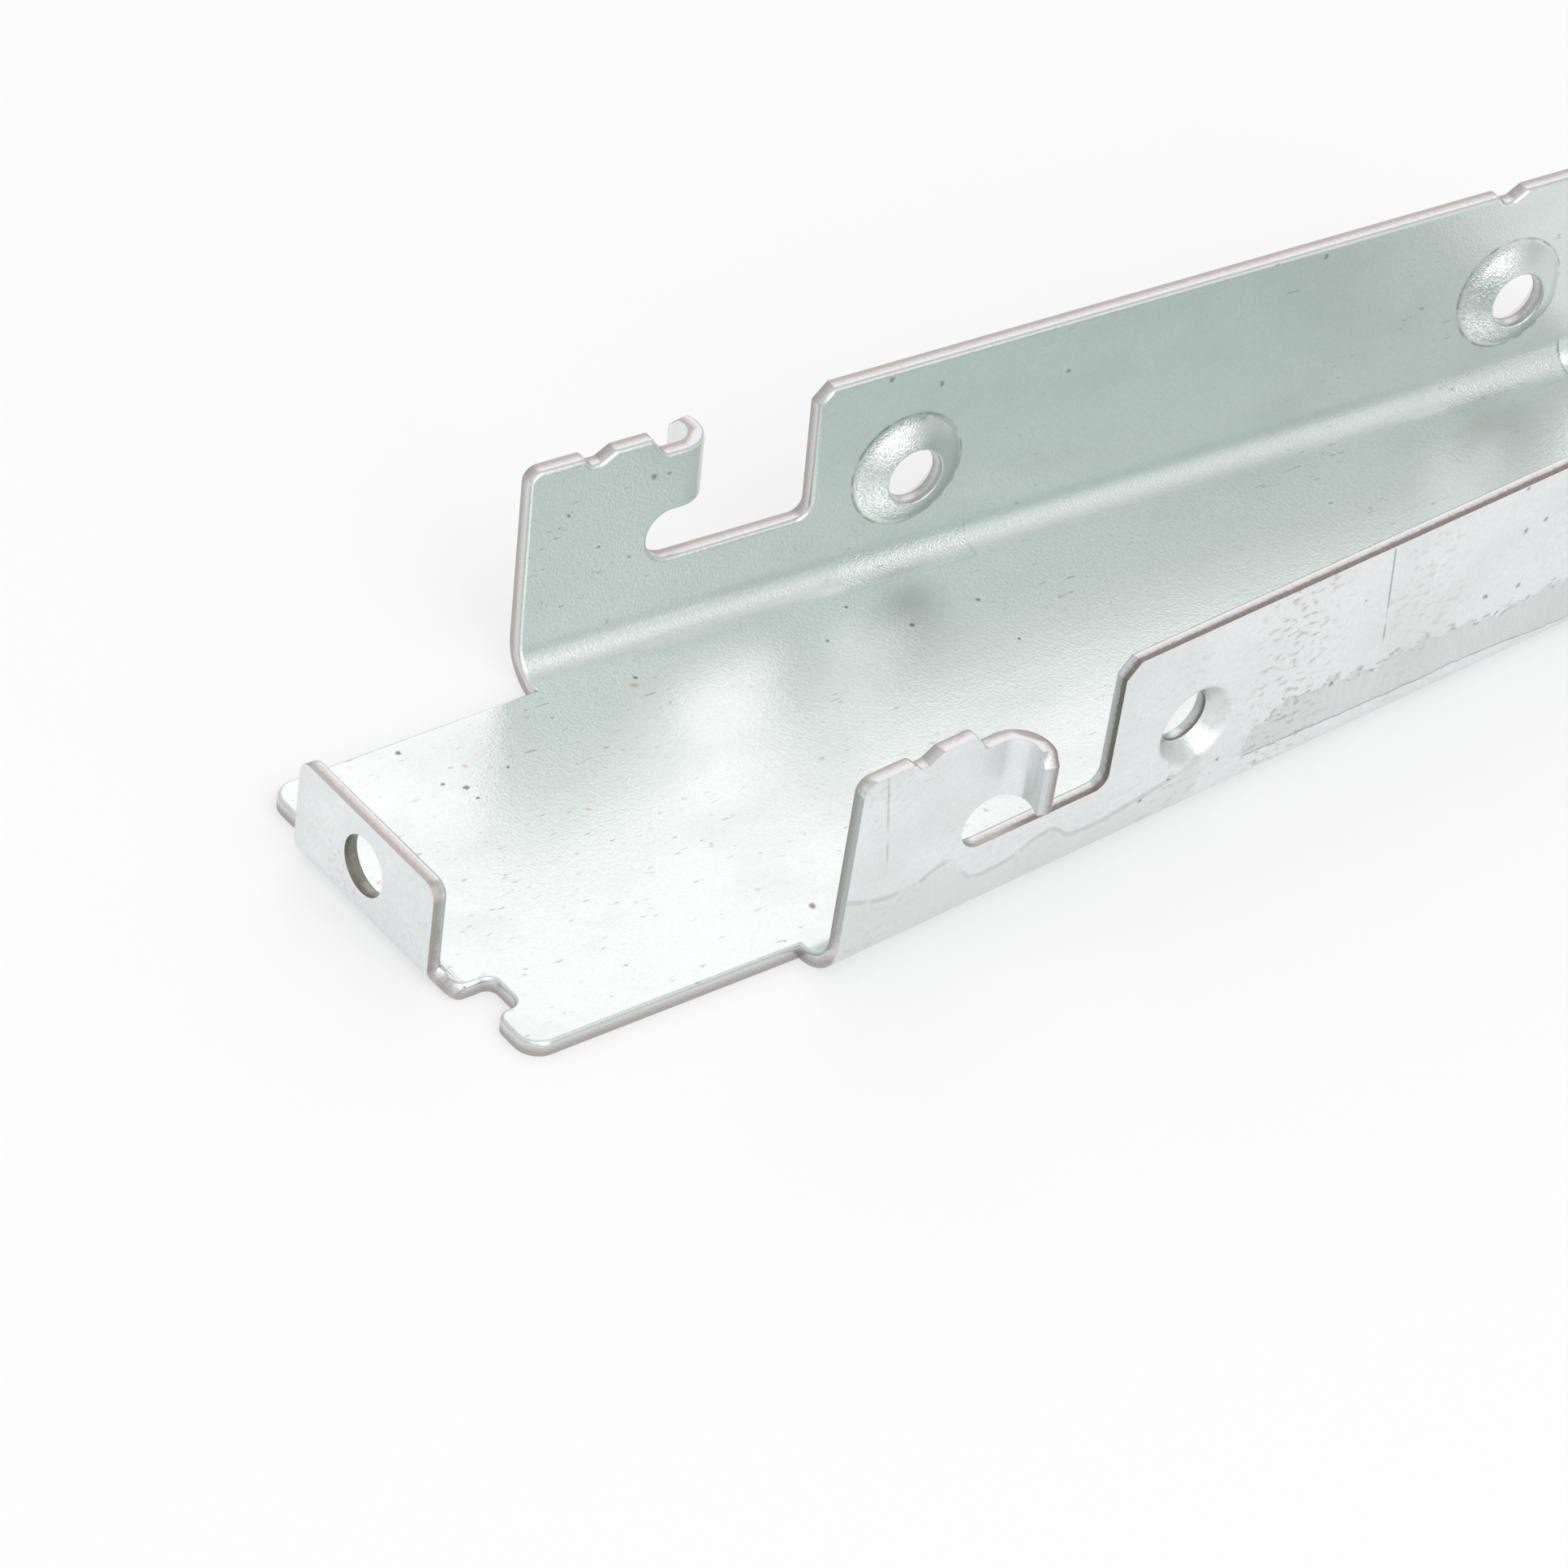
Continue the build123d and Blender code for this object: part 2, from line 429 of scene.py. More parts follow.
@dataclass(frozen=True)
class ZincCoat:
    """A thin electro-galvanised coat: soft zinc with clouds, a fine grain and the sheet's waves.

    Attributes:
        name: Name of the material.
        zinc: Colour of the clean coat.
        dull: Colour of the coat where it is clouded.
        roughness: Roughness of the clean coat.
        grain_mm: Size of the grain, about three times the real one so that it shows.
        grain_um: Height of the grain.
        cloud_mm: Size of the clouds.
        cloud_from: Values of the noise at which a cloud starts and is full.
        wave_mm: Length of the slight waves in the sheet.
        wave_um: Height of the waves.
    """

    name: str
    zinc: str
    dull: str
    roughness: float
    grain_mm: float
    grain_um: float
    cloud_mm: Triple
    cloud_from: Pair
    wave_mm: float
    wave_um: float

    def ground(self, paint: Painter, place: Socket) -> tuple[Socket, Socket, Socket]:
        """Masks of the coat's clouds, its grain and its waves.

        Args:
            paint: What draws in the finish's node tree.
            place: Where the coat lies.

        Returns:
            The clouds, the grain and the waves.
        """
        clouds = paint.patches(place, self.cloud_mm, self.cloud_from, 5.0)
        grain = paint.patches(place, (self.grain_mm,) * 3, (0.2, 0.8), 2.0)
        waves = paint.patches(place, (self.wave_mm,) * 3, (0.0, 1.0), 1.0)
        return clouds, grain, waves


@dataclass(frozen=True)
class ChannelZinc(ZincCoat):
    """Electro-galvanised steel inside the channel: a thin, matt and faintly green zinc coat.

    It mirrors its surroundings softly, sparkles finely where a lamp catches its grain, and
    carries small dark and straw-coloured specks.  Places pressed by a tool, the dishes and the
    pads, are coarser and paler; the side of each dish that looks to the wide end is also painted
    with a highlight, and its other side carries painted shade.  A thin broken olive line lies in
    the groove round each dish.

    Attributes:
        coined_and_highlight: Paler colour of the coat where a tool has pressed it, which on the side of
            each dimple that looks to the wide end is also a painted highlight.
        shade: Painted shade on the side of each dimple that looks away from the wide end.
        olive: Colour of the thin broken line in the grooves.
        fleck: Colour of the short fine marks strewn over the tongue.
        dark: Colour of the dark specks.
        straw: Colour of the straw-coloured specks.
        rust: Colour of the one rusty speck.
        coarse_mm: Size of the coarser grain where a tool has pressed the coat.
        coarse_um: Height of the coarser grain.
        fleck_mm: Size of the flecks, drawn out by rolling.
        strewn_mm: Size of the areas that the flecks are strewn over.
        fleck_end: Where along X the flecks of the tongue start to thin out.
        ring: Diameter of the groove round a dimple.
        groove: Width of the groove.
        groove_mm: Size of the gaps in the line in the groove.
        dish_edge: Width over which the coat changes at the groove.
        wall_reach: Places out of the wall's outer face between which the marks of its holes fade in.
        rubbed_and_lit_from: Places along the wall from a hole between which the burnished side of its
            dimple, which carries the painted highlight, fades in.
        pad: Length of a pad, and how far it reaches up the wall.
        pad_edge: Width over which the coat changes at a pad.
        pad_share: How coarse a pad is, as a share of the burnished side of a dimple.
        sheet_mm: Thickness of the sheet, for the height of the specks on it.
        dark_spots: Place and radius of single dark specks on the web, in millimetres.
        rear_spots: Place and radius of single olive specks on the rear wall, in millimetres.
        straw_spots: Place and radius of single straw-coloured specks, in millimetres.
        rust_spots: Place and radius of the rusty speck, in millimetres.
    """

    name: str = "electro_galvanised_steel_channel_side"
    zinc: str = "#E4EBE9"
    dull: str = "#D3DBD7"
    coined_and_highlight: str = "#F0F2F1"
    shade: str = "#CAD2CF"
    olive: str = "#8F927A"
    fleck: str = "#9A9C88"
    dark: str = "#55574C"
    straw: str = "#C9B88C"
    rust: str = "#7A5230"
    roughness: float = 0.29
    grain_mm: float = 0.22
    grain_um: float = 11.0
    cloud_mm: Triple = (9.0, 5.0, 5.0)        # drawn out along the sheet by rolling
    cloud_from: Pair = (0.4, 0.78)
    wave_mm: float = 14.0
    wave_um: float = 25.0
    coarse_mm: float = 0.16
    coarse_um: float = 26.0
    fleck_mm: Triple = (1.1, 0.35, 0.35)
    strewn_mm: float = 12.0
    fleck_end: float = 12 * MM
    ring: float = 9.1 * MM
    groove: float = 0.28 * MM
    groove_mm: float = 0.9
    dish_edge: float = 0.3 * MM
    wall_reach: Pair = (-4.2 * MM, -3.4 * MM)
    rubbed_and_lit_from: Pair = (1.6 * MM, -0.8 * MM)
    pad: Pair = (10.9 * MM, 2.6 * MM)
    pad_edge: float = 0.15 * MM
    pad_share: float = 0.6
    sheet_mm: float = 1.2
    dark_spots: Spots = (
        (-12.5, 14.5, 0.25), (-11.7, 10.2, 0.25), (-10.5, 9.1, 0.3), (-10.4, 7.8, 0.2), (-6.7, 9.6, 0.2),
        (6.8, 13.5, 0.25), (21.1, 10.3, 0.2), (27.5, 8.9, 0.3), (24.6, 12.8, 0.2), (33.4, 9.0, 0.25),
        (33.3, 4.0, 0.2),
    )
    rear_spots: Spots = (
        (33.7, 15.4, 0.3), (44.6, 13.3, 0.25), (8.6, 8.2, 0.25), (10.1, 14.5, 0.35), (6.0, 9.8, 0.2),
        (29.4, 17.0, 0.3), (11.3, 14.5, 0.2), (3.3, 13.3, 0.2), (66.4, 16.9, 0.3),
    )
    straw_spots: Spots = (
        (-9.2, 11.1, 0.3), (6.2, 12.8, 0.35), (-4.5, 3.1, 0.25),
    )
    rust_spots: Spots = ((2.9, -12.8, 0.4),)

    def rubbed_and_lit_side(self, paint: Painter, along: Socket, holes: WallPlace) -> Socket:
        """Mask of the side of each dimple that looks to the wide end, which a tool has burnished and where
        a highlight is painted.

        Args:
            paint: What draws in the finish's node tree.
            along: The place along the wall.
            holes: Where the holes are.

        Returns:
            The mask.
        """
        start, full = self.rubbed_and_lit_from
        first, second = holes.holes_along
        middle = (first + second) / 2
        sides = [paint.step(along, place + start, place + full) for place in (first, second)]
        beyond = paint.step(along, middle, middle + MM)
        return paint.most(sides[0], paint.times(sides[1], beyond))

    def pads(self, paint: Painter, wall: Wall, holes: WallPlace) -> Socket:
        """Mask of the pads in the bend, which a tool has pressed.

        Args:
            paint: What draws in the finish's node tree.
            wall: The place in the wall's frame.
            holes: Where the holes are.

        Returns:
            The mask.
        """
        length, rise = self.pad
        near = []
        for along in holes.holes_along:
            away = paint.combine("SUBTRACT", [wall["along"], along])
            near.append(paint.step(paint.unsigned(away), length / 2, length / 2 - self.pad_edge))
        low = paint.step(wall["up"], rise + self.pad_edge, rise)
        deep = paint.step(wall["out"], -rise - self.pad_edge, -rise)
        return paint.times(paint.most(*near), low, deep)

    def material(self) -> bpy.types.Material:
        """Makes the material.

        Returns:
            The finished material.
        """
        material, tree = new_material(self.name)
        paint = Painter(tree)
        holes = WallPlace()
        place = add_node(tree, "TexCoord").outputs["Object"]
        wall = holes.sockets(tree, True)
        reach = paint.hole_distance(wall, holes)
        near_wall = paint.step(wall["out"], *self.wall_reach)
        inside = paint.step(reach, self.ring / 2, self.ring / 2 - self.dish_edge)
        dish = paint.times(inside, near_wall)
        off_ring = paint.combine("SUBTRACT", [reach, self.ring / 2])
        groove_patches = paint.patches(place, (self.groove_mm,) * 3, (0.35, 0.6))
        # Thin broken olive line along the groove round each dish.
        groove = paint.times(paint.thin_line(off_ring, self.groove), near_wall, groove_patches)
        pads = self.pads(paint, wall, holes)
        # Painted highlight on the side of each dish that looks to the wide end, where the coat is also
        # burnished.
        rubbed_and_lit = paint.times(dish, self.rubbed_and_lit_side(paint, wall["along"], holes))
        # Painted shade on the side of each dish that looks away from the wide end.
        shaded_side = paint.combine("SUBTRACT", [dish, rubbed_and_lit])
        coined_and_highlight = paint.most(rubbed_and_lit, paint.times(pads, self.pad_share))
        clouds, grain, waves = self.ground(paint, place)
        coarse = paint.patches(place, (self.coarse_mm,) * 3, (0.45, 0.75), 1.0)
        grained = paint.times(coined_and_highlight, coarse)
        parts = add_node(tree, "SeparateXYZ", {}, {0: place}).outputs
        strewn = paint.patches(place, (self.strewn_mm,) * 3, (0.45, 0.6), 1.0)
        tongue = paint.most(paint.step(parts["X"], self.fleck_end, 0.0), strewn)
        flecks = paint.times(paint.patches(place, self.fleck_mm, (0.66, 0.76), 2.0), tongue)
        rear = paint.times(
            paint.spots(wall["place"], self.rear_spots, -self.sheet_mm), paint.step(parts["Y"], 0.0, MM),
        )
        colour = paint.layered(self.zinc, [
            (clouds, self.dull, 0.45),
            (grain, self.dull, 0.45),
            # Paler side of each dish: burnished coat and a painted highlight.
            (rubbed_and_lit, self.coined_and_highlight, 0.7),
            # Painted shade on the far side of each dish.
            (shaded_side, self.shade, 0.8),
            (pads, self.coined_and_highlight, 0.15),
            (grained, self.dark, 0.13),
            (flecks, self.fleck, 0.6),
            (groove, self.olive, 0.6),
            (paint.spots(place, self.dark_spots, self.sheet_mm), self.dark, 0.75),
            (rear, self.olive, 0.75),
            (paint.spots(place, self.straw_spots, self.sheet_mm), self.straw, 0.7),
            (paint.spots(place, self.rust_spots, self.sheet_mm), self.rust, 0.75),
        ])
        rough = paint.rough_value(self.roughness, [(clouds, 0.06), (coined_and_highlight, -0.08), (grained, 0.12)])
        normal = paint.relief([
            (waves, self.wave_um * UM), (grain, self.grain_um * UM), (grained, self.coarse_um * UM),
        ])
        paint.metal(colour, rough, normal)
        return material


@dataclass(frozen=True)
class OuterZinc(ZincCoat):
    """The same coat on the outside, paler and scuffed where the sheet slid over the die.

    Low along the front wall runs a grey band of fine upright streaks, with a torn upper edge and a
    thin dark line under it.  A wandering line shows where the bend was struck.  Small brown-grey
    marks, single dark dots, one thin scratch and a faint crease on the lug lie above it, and the
    dishes round the holes are duller.

    Attributes:
        scuff: Colour of the scuffed band.
        stain: Colour of the brown-grey marks.
        scratch: Colour of the scratch and the darkest marks.
        streak_mm: Size of the scuffed band's streaks, drawn out up the wall.
        streak_um: Height of the streaks.
        mark_mm: Size of the brown-grey marks.
        mark_um: Height of the marks.
        strewn_mm: Size of the areas that fainter marks are strewn over.
        strewn_share: How strong those marks are.
        flake_mm: Size of the flakes along the band's torn edge.
        ragged_mm: Size of the notches in the band's outline.
        wander_high: How far the band's upper edge strays.
        wander_low: How far the band's lower edge and the dark line stray.
        wander_start: How far the band's start strays.
        torn_width: Width of the band's torn edge.
        line_width: Width of the dark line.
        line_um: Depth of the dark line.
        strike_width: Width of the wandering line.
        strike_mm: Size of the gaps in the wandering line.
        scratch_width: Width of the scratch and of the crease.
        scratch_mm: Size of the gaps in the scratch and the crease.
        dish: Reaches from a hole's axis between which its dish fades in.
        front_reach: Places out of the front wall's outer face between which its marks fade in.
        band_start: Places along the wall between which the scuffed band fades in.
        lug_end: Places along the wall between which the wandering line fades out.
        marked: Places along the wall where the marks start, are full, thin out and end.
        high_edge: Heights over the band's upper edge between which the band fades in.
        low_edge: Heights over the band's lower edge between which the band fades in.
        under_strike: Heights over the wandering line between which the coat dulls.
        scratch_fade: How softly the scratch and the crease end, at the foot and at the top.
        band_low: Points of the scuffed band's lower edge, in millimetres.
        band_high: Points of the scuffed band's upper edge, in millimetres.
        strike: Points of the wandering line left by the bend, in millimetres.
        dots: Place and radius of single dark marks on the front wall, in millimetres.
        scratch_ends: Upper and lower end of the scratch, in millimetres.
        crease_ends: Upper and lower end of a faint line on the lug, in millimetres.
    """

    name: str = "electro_galvanised_steel_outside"
    zinc: str = "#F0F2F2"
    dull: str = "#D6DCDA"
    scuff: str = "#C6CAC9"
    stain: str = "#9C988A"
    scratch: str = "#6E7070"
    roughness: float = 0.34
    grain_mm: float = 0.3
    grain_um: float = 10.0
    cloud_mm: Triple = (8.0, 8.0, 6.0)
    cloud_from: Pair = (0.38, 0.75)
    wave_mm: float = 11.0
    wave_um: float = 18.0
    streak_mm: Triple = (0.3, 5.0, 5.0)
    streak_um: float = 12.0
    mark_mm: Triple = (0.9, 0.5, 0.5)
    mark_um: float = 10.0
    strewn_mm: float = 11.0
    strewn_share: float = 0.45
    flake_mm: Triple = (0.7, 0.35, 0.35)
    ragged_mm: float = 1.3
    wander_high: float = 3.5 * MM
    wander_low: float = 0.5 * MM
    wander_start: float = 2.0 * MM
    torn_width: float = 0.9 * MM
    line_width: float = 0.22 * MM
    line_um: float = 25.0
    strike_width: float = 0.7 * MM
    strike_mm: float = 2.5
    scratch_width: float = 0.25 * MM
    scratch_mm: float = 1.6
    dish: Pair = (3.4 * MM, 2.9 * MM)
    front_reach: Pair = (-1.5 * MM, -1.0 * MM)
    band_start: Pair = (36.6 * MM, 37.0 * MM)
    lug_end: Pair = (33.0 * MM, 32.0 * MM)
    marked: tuple[float, float, float, float] = (34.5 * MM, 38.5 * MM, 40.5 * MM, 46.5 * MM)
    high_edge: Pair = (0.25 * MM, -0.15 * MM)
    low_edge: Pair = (-0.08 * MM, 0.08 * MM)
    under_strike: Pair = (0.3 * MM, -0.6 * MM)
    scratch_fade: Pair = (1.5 * MM, 0.5 * MM)
    band_low: Points = (
        (36.8, 3.83), (50.0, 3.38), (59.9, 3.19), (68.7, 2.4), (93.0, 2.0),
    )
    band_high: Points = (
        (36.8, 5.4), (38.4, 6.3), (43.0, 7.3), (47.9, 6.65), (53.8, 6.9), (62.1, 6.3), (67.3, 6.6),
        (93.0, 6.4),
    )
    strike: Points = (
        (1.3, 6.9), (5.8, 6.1), (8.9, 7.0), (11.9, 4.3), (14.8, 4.4), (18.4, 5.4), (21.0, 4.0), (26.7, 4.4),
        (32.5, 5.7),
    )
    dots: Spots = (
        (59.0, 8.5, 0.3), (62.3, 8.05, 0.3), (61.8, 13.2, 0.35), (63.7, 13.5, 0.3), (61.1, 17.3, 0.25),
        (27.1, 4.2, 0.25), (29.6, 4.95, 0.2), (34.2, 4.7, 0.25), (44.5, 6.9, 0.3), (46.3, 13.6, 0.2),
    )
    scratch_ends: Points = ((48.33, 17.19), (49.12, 7.91))
    crease_ends: Points = ((1.95, 17.6), (3.3, 9.0))

    def scuffed(self, paint: Painter, wall: Wall) -> tuple[Socket, Socket, Socket]:
        """Masks of the scuffed band, of the dark line under it and of its torn upper edge.

        Args:
            paint: What draws in the finish's node tree.
            wall: The place in the wall's frame.

        Returns:
            The band, the line and the torn edge.
        """
        ragged = add_node(paint.tree, "TexNoise", {}, {
            "Vector": wall["place"], "Scale": per_metre(self.ragged_mm), "Detail": 4.0,
        })
        off = paint.combine("SUBTRACT", [ragged.outputs["Fac"], 0.5])
        high, low = (paint.drawn_line(wall["along"], points) for points in (self.band_high, self.band_low))
        over, above = (
            paint.combine("ADD", [
                paint.combine("SUBTRACT", [wall["up"], edge]), paint.times(off, wander),
            ])
            for edge, wander in ((high, self.wander_high), (low, self.wander_low))
        )
        start = paint.combine("ADD", [wall["along"], paint.times(off, self.wander_start)])
        begun = paint.step(start, *self.band_start)
        band = paint.times(paint.step(over, *self.high_edge), paint.step(above, *self.low_edge), begun)
        line = paint.times(paint.thin_line(above, self.line_width), begun)
        flakes = paint.patches(wall["place"], self.flake_mm, (0.48, 0.62), 3.0)
        torn = paint.times(paint.thin_line(over, self.torn_width), flakes, begun)
        return band, line, torn

    def upright(self, paint: Painter, wall: Wall, top_mm: Pair, foot_mm: Pair) -> Socket:
        """Mask of a thin straight line that runs nearly up and down a wall.

        Args:
            paint: What draws in the finish's node tree.
            wall: The place in the wall's frame.
            top_mm: Place along and height of the line's upper end, in millimetres.
            foot_mm: Place along and height of its lower end, in millimetres.

        Returns:
            The mask.
        """
        (top_along, top), (foot_along, foot) = ((place * MM, up * MM) for place, up in (top_mm, foot_mm))
        slope = (foot_along - top_along) / (top - foot)
        middle = paint.combine("ADD", [
            paint.times(paint.combine("SUBTRACT", [top, wall["up"]]), slope), top_along,
        ])
        off = paint.combine("SUBTRACT", [wall["along"], middle])
        fade_foot, fade_top = self.scratch_fade
        ends = [
            paint.step(wall["up"], foot, foot + fade_foot), paint.step(wall["up"], top + fade_top, top),
        ]
        return paint.times(paint.thin_line(off, self.scratch_width), *ends)

    def material(self) -> bpy.types.Material:
        """Makes the material.

        Returns:
            The finished material.
        """
        material, tree = new_material(self.name)
        paint = Painter(tree)
        place = add_node(tree, "TexCoord").outputs["Object"]
        holes = WallPlace()
        wall = holes.sockets(tree, False)
        along, up = wall["along"], wall["up"]
        front = paint.step(wall["out"], *self.front_reach)
        dish = paint.step(paint.hole_distance(holes.sockets(tree, True), holes), *self.dish)
        band, line, torn = self.scuffed(paint, wall)
        streaks = paint.patches(wall["place"], self.streak_mm, (0.35, 0.7), 3.0)
        off_strike = paint.combine("SUBTRACT", [up, paint.drawn_line(along, self.strike)])
        lug = paint.step(along, *self.lug_end)
        gaps = paint.patches(wall["place"], (self.strike_mm,) * 3, (0.38, 0.5))
        strike = paint.times(paint.thin_line(off_strike, self.strike_width), lug, gaps)
        below = paint.times(paint.step(off_strike, *self.under_strike), lug)
        broken = paint.patches(wall["place"], (self.scratch_mm,) * 3, (0.3, 0.5))
        scratch, crease = (
            paint.times(self.upright(paint, wall, *ends), broken)
            for ends in (self.scratch_ends, self.crease_ends)
        )
        marks = paint.patches(wall["place"], self.mark_mm, (0.52, 0.66), 5.0)
        start, full, thinning, end = self.marked
        near = paint.times(front, paint.step(along, start, full), paint.step(along, end, thinning))
        strewn = paint.times(
            paint.patches(place, (self.strewn_mm,) * 3, (0.5, 0.66), 1.0), self.strewn_share,
        )
        marked = paint.times(marks, paint.most(near, strewn))
        clouds, grain, waves = self.ground(paint, place)
        band, line, torn, strike, below, scratch, crease = (
            paint.times(mask, front)
            for mask in (band, line, torn, strike, below, scratch, crease)
        )
        streaked = paint.times(band, streaks)
        colour = paint.layered(self.zinc, [
            (clouds, self.dull, 0.5),
            (grain, self.dull, 0.4),
            (below, self.dull, 0.45),
            (dish, self.dull, 0.6),
            (band, self.scuff, 0.34),
            (torn, self.scratch, 0.45),
            (streaked, self.dull, 0.7),
            (line, self.scratch, 0.4),
            (strike, self.stain, 0.3),
            (marked, self.stain, 0.42),
            (crease, self.stain, 0.45),
            (scratch, self.scratch, 0.6),
            (paint.spots(wall["place"], self.dots, 0.0), self.scratch, 0.65),
        ])
        rough = paint.rough_value(self.roughness, [(clouds, 0.05), (band, 0.1), (marked, 0.15)])
        normal = paint.relief([
            (waves, self.wave_um * UM), (grain, self.grain_um * UM), (streaked, self.streak_um * UM),
            (line, -self.line_um * UM), (marked, self.mark_um * UM),
        ])
        paint.metal(colour, rough, normal)
        return material


@dataclass(frozen=True)
class ShearedEdge:
    """Sheared steel edge: zinc drawn over the corner, a bright pale cut, then a dull broken band.

    The broken band is browned and a little rough, and darker along the front wall behind its
    lug.  The wall of the tab's hole carries painted shade all through.

    Attributes:
        name: Name of the material.
        drawn: Colour of the zinc drawn over the corner.
        bright: Colour of the burnished cut.
        broken: Colour of the broken band, where bare steel has browned.
        darker_edge: Darker colour of the broken band along the front wall, behind its lug.
        darker_across: Places across the channel between which the darkening fades in.
        darker_along: Places along the channel between which the darkening fades in.
        bore_shade: Painted shade on the wall of the tab's hole.
        bore_centre: Middle of the tab's hole.
        bore_reach: Distances from there between which its painted shade fades in.
        depth: Name of the attribute that runs from 0 at the channel side to 1 outside.
        drawn_to: Where across the edge the drawn zinc ends, and how softly.
        break_at: Where across the edge the cut turns into the broken band, and how softly.
        wander: How far both wander across the edge.
        bright_roughness: Roughness of the burnished cut.
        broken_roughness: Added roughness of the broken band.
        mottle_mm: Size of the mottling along the edge.
        mottle_um: Height of the mottling.
    """

    name: str = "sheared_steel_edge"
    drawn: str = "#D2D5D4"
    bright: str = "#C3C1C1"
    broken: str = "#B6B1AC"
    darker_edge: str = "#827C77"
    darker_across: Pair = (-8 * MM, -10 * MM)
    darker_along: Pair = (13 * MM, 17 * MM)
    bore_shade: str = "#6B6858"
    bore_centre: Triple = (-23.6 * MM, 1.9 * MM, 4.9 * MM)
    bore_reach: Pair = (3.0 * MM, 2.6 * MM)
    depth: str = "depth"
    drawn_to: Pair = (0.40, 0.1)
    break_at: Pair = (0.62, 0.12)
    wander: float = 0.3
    bright_roughness: float = 0.27
    broken_roughness: float = 0.22
    mottle_mm: float = 0.25
    mottle_um: float = 14.0

    def material(self) -> bpy.types.Material:
        """Makes the material.

        Returns:
            The finished material.
        """
        material, tree = new_material(self.name)
        paint = Painter(tree)
        place = add_node(tree, "TexCoord").outputs["Object"]
        mottle = add_node(tree, "TexNoise", {}, {
            "Vector": place, "Scale": per_metre(self.mottle_mm), "Detail": 3.0, "Roughness": 0.6,
        }).outputs["Fac"]
        depth = add_node(tree, "Attribute", {"attribute_name": self.depth}).outputs["Fac"]
        shift = paint.times(paint.combine("SUBTRACT", [mottle, 0.5]), self.wander)
        across = paint.combine("ADD", [depth, shift])
        cut, broken = (
            paint.step(across, middle - soft, middle + soft)
            for middle, soft in (self.drawn_to, self.break_at)
        )
        pitted = paint.times(cut, paint.step(mottle, 0.5, 0.62))
        # Painted shade in the tab's hole: its wall is darkened all through.
        in_bore_shade = paint.step(paint.distance(place, self.bore_centre), *self.bore_reach)
        parts = add_node(tree, "SeparateXYZ", {}, {0: place}).outputs
        # Broken band made darker along the front wall, behind its lug.
        darker_front = paint.times(
            broken, paint.step(parts["Y"], *self.darker_across), paint.step(parts["X"], *self.darker_along),
        )
        colour = paint.layered(self.drawn, [
            (cut, self.bright, 1.0),
            (broken, self.broken, 0.9),
            (darker_front, self.darker_edge, 0.95),
            (pitted, self.broken, 0.2),
            # Painted shade on the wall of the tab's hole.
            (in_bore_shade, self.bore_shade, 0.7),
        ])
        rough = paint.rough_value(self.bright_roughness, [(broken, self.broken_roughness)])
        paint.metal(colour, rough, paint.relief([(mottle, self.mottle_um * UM)]))
        return material


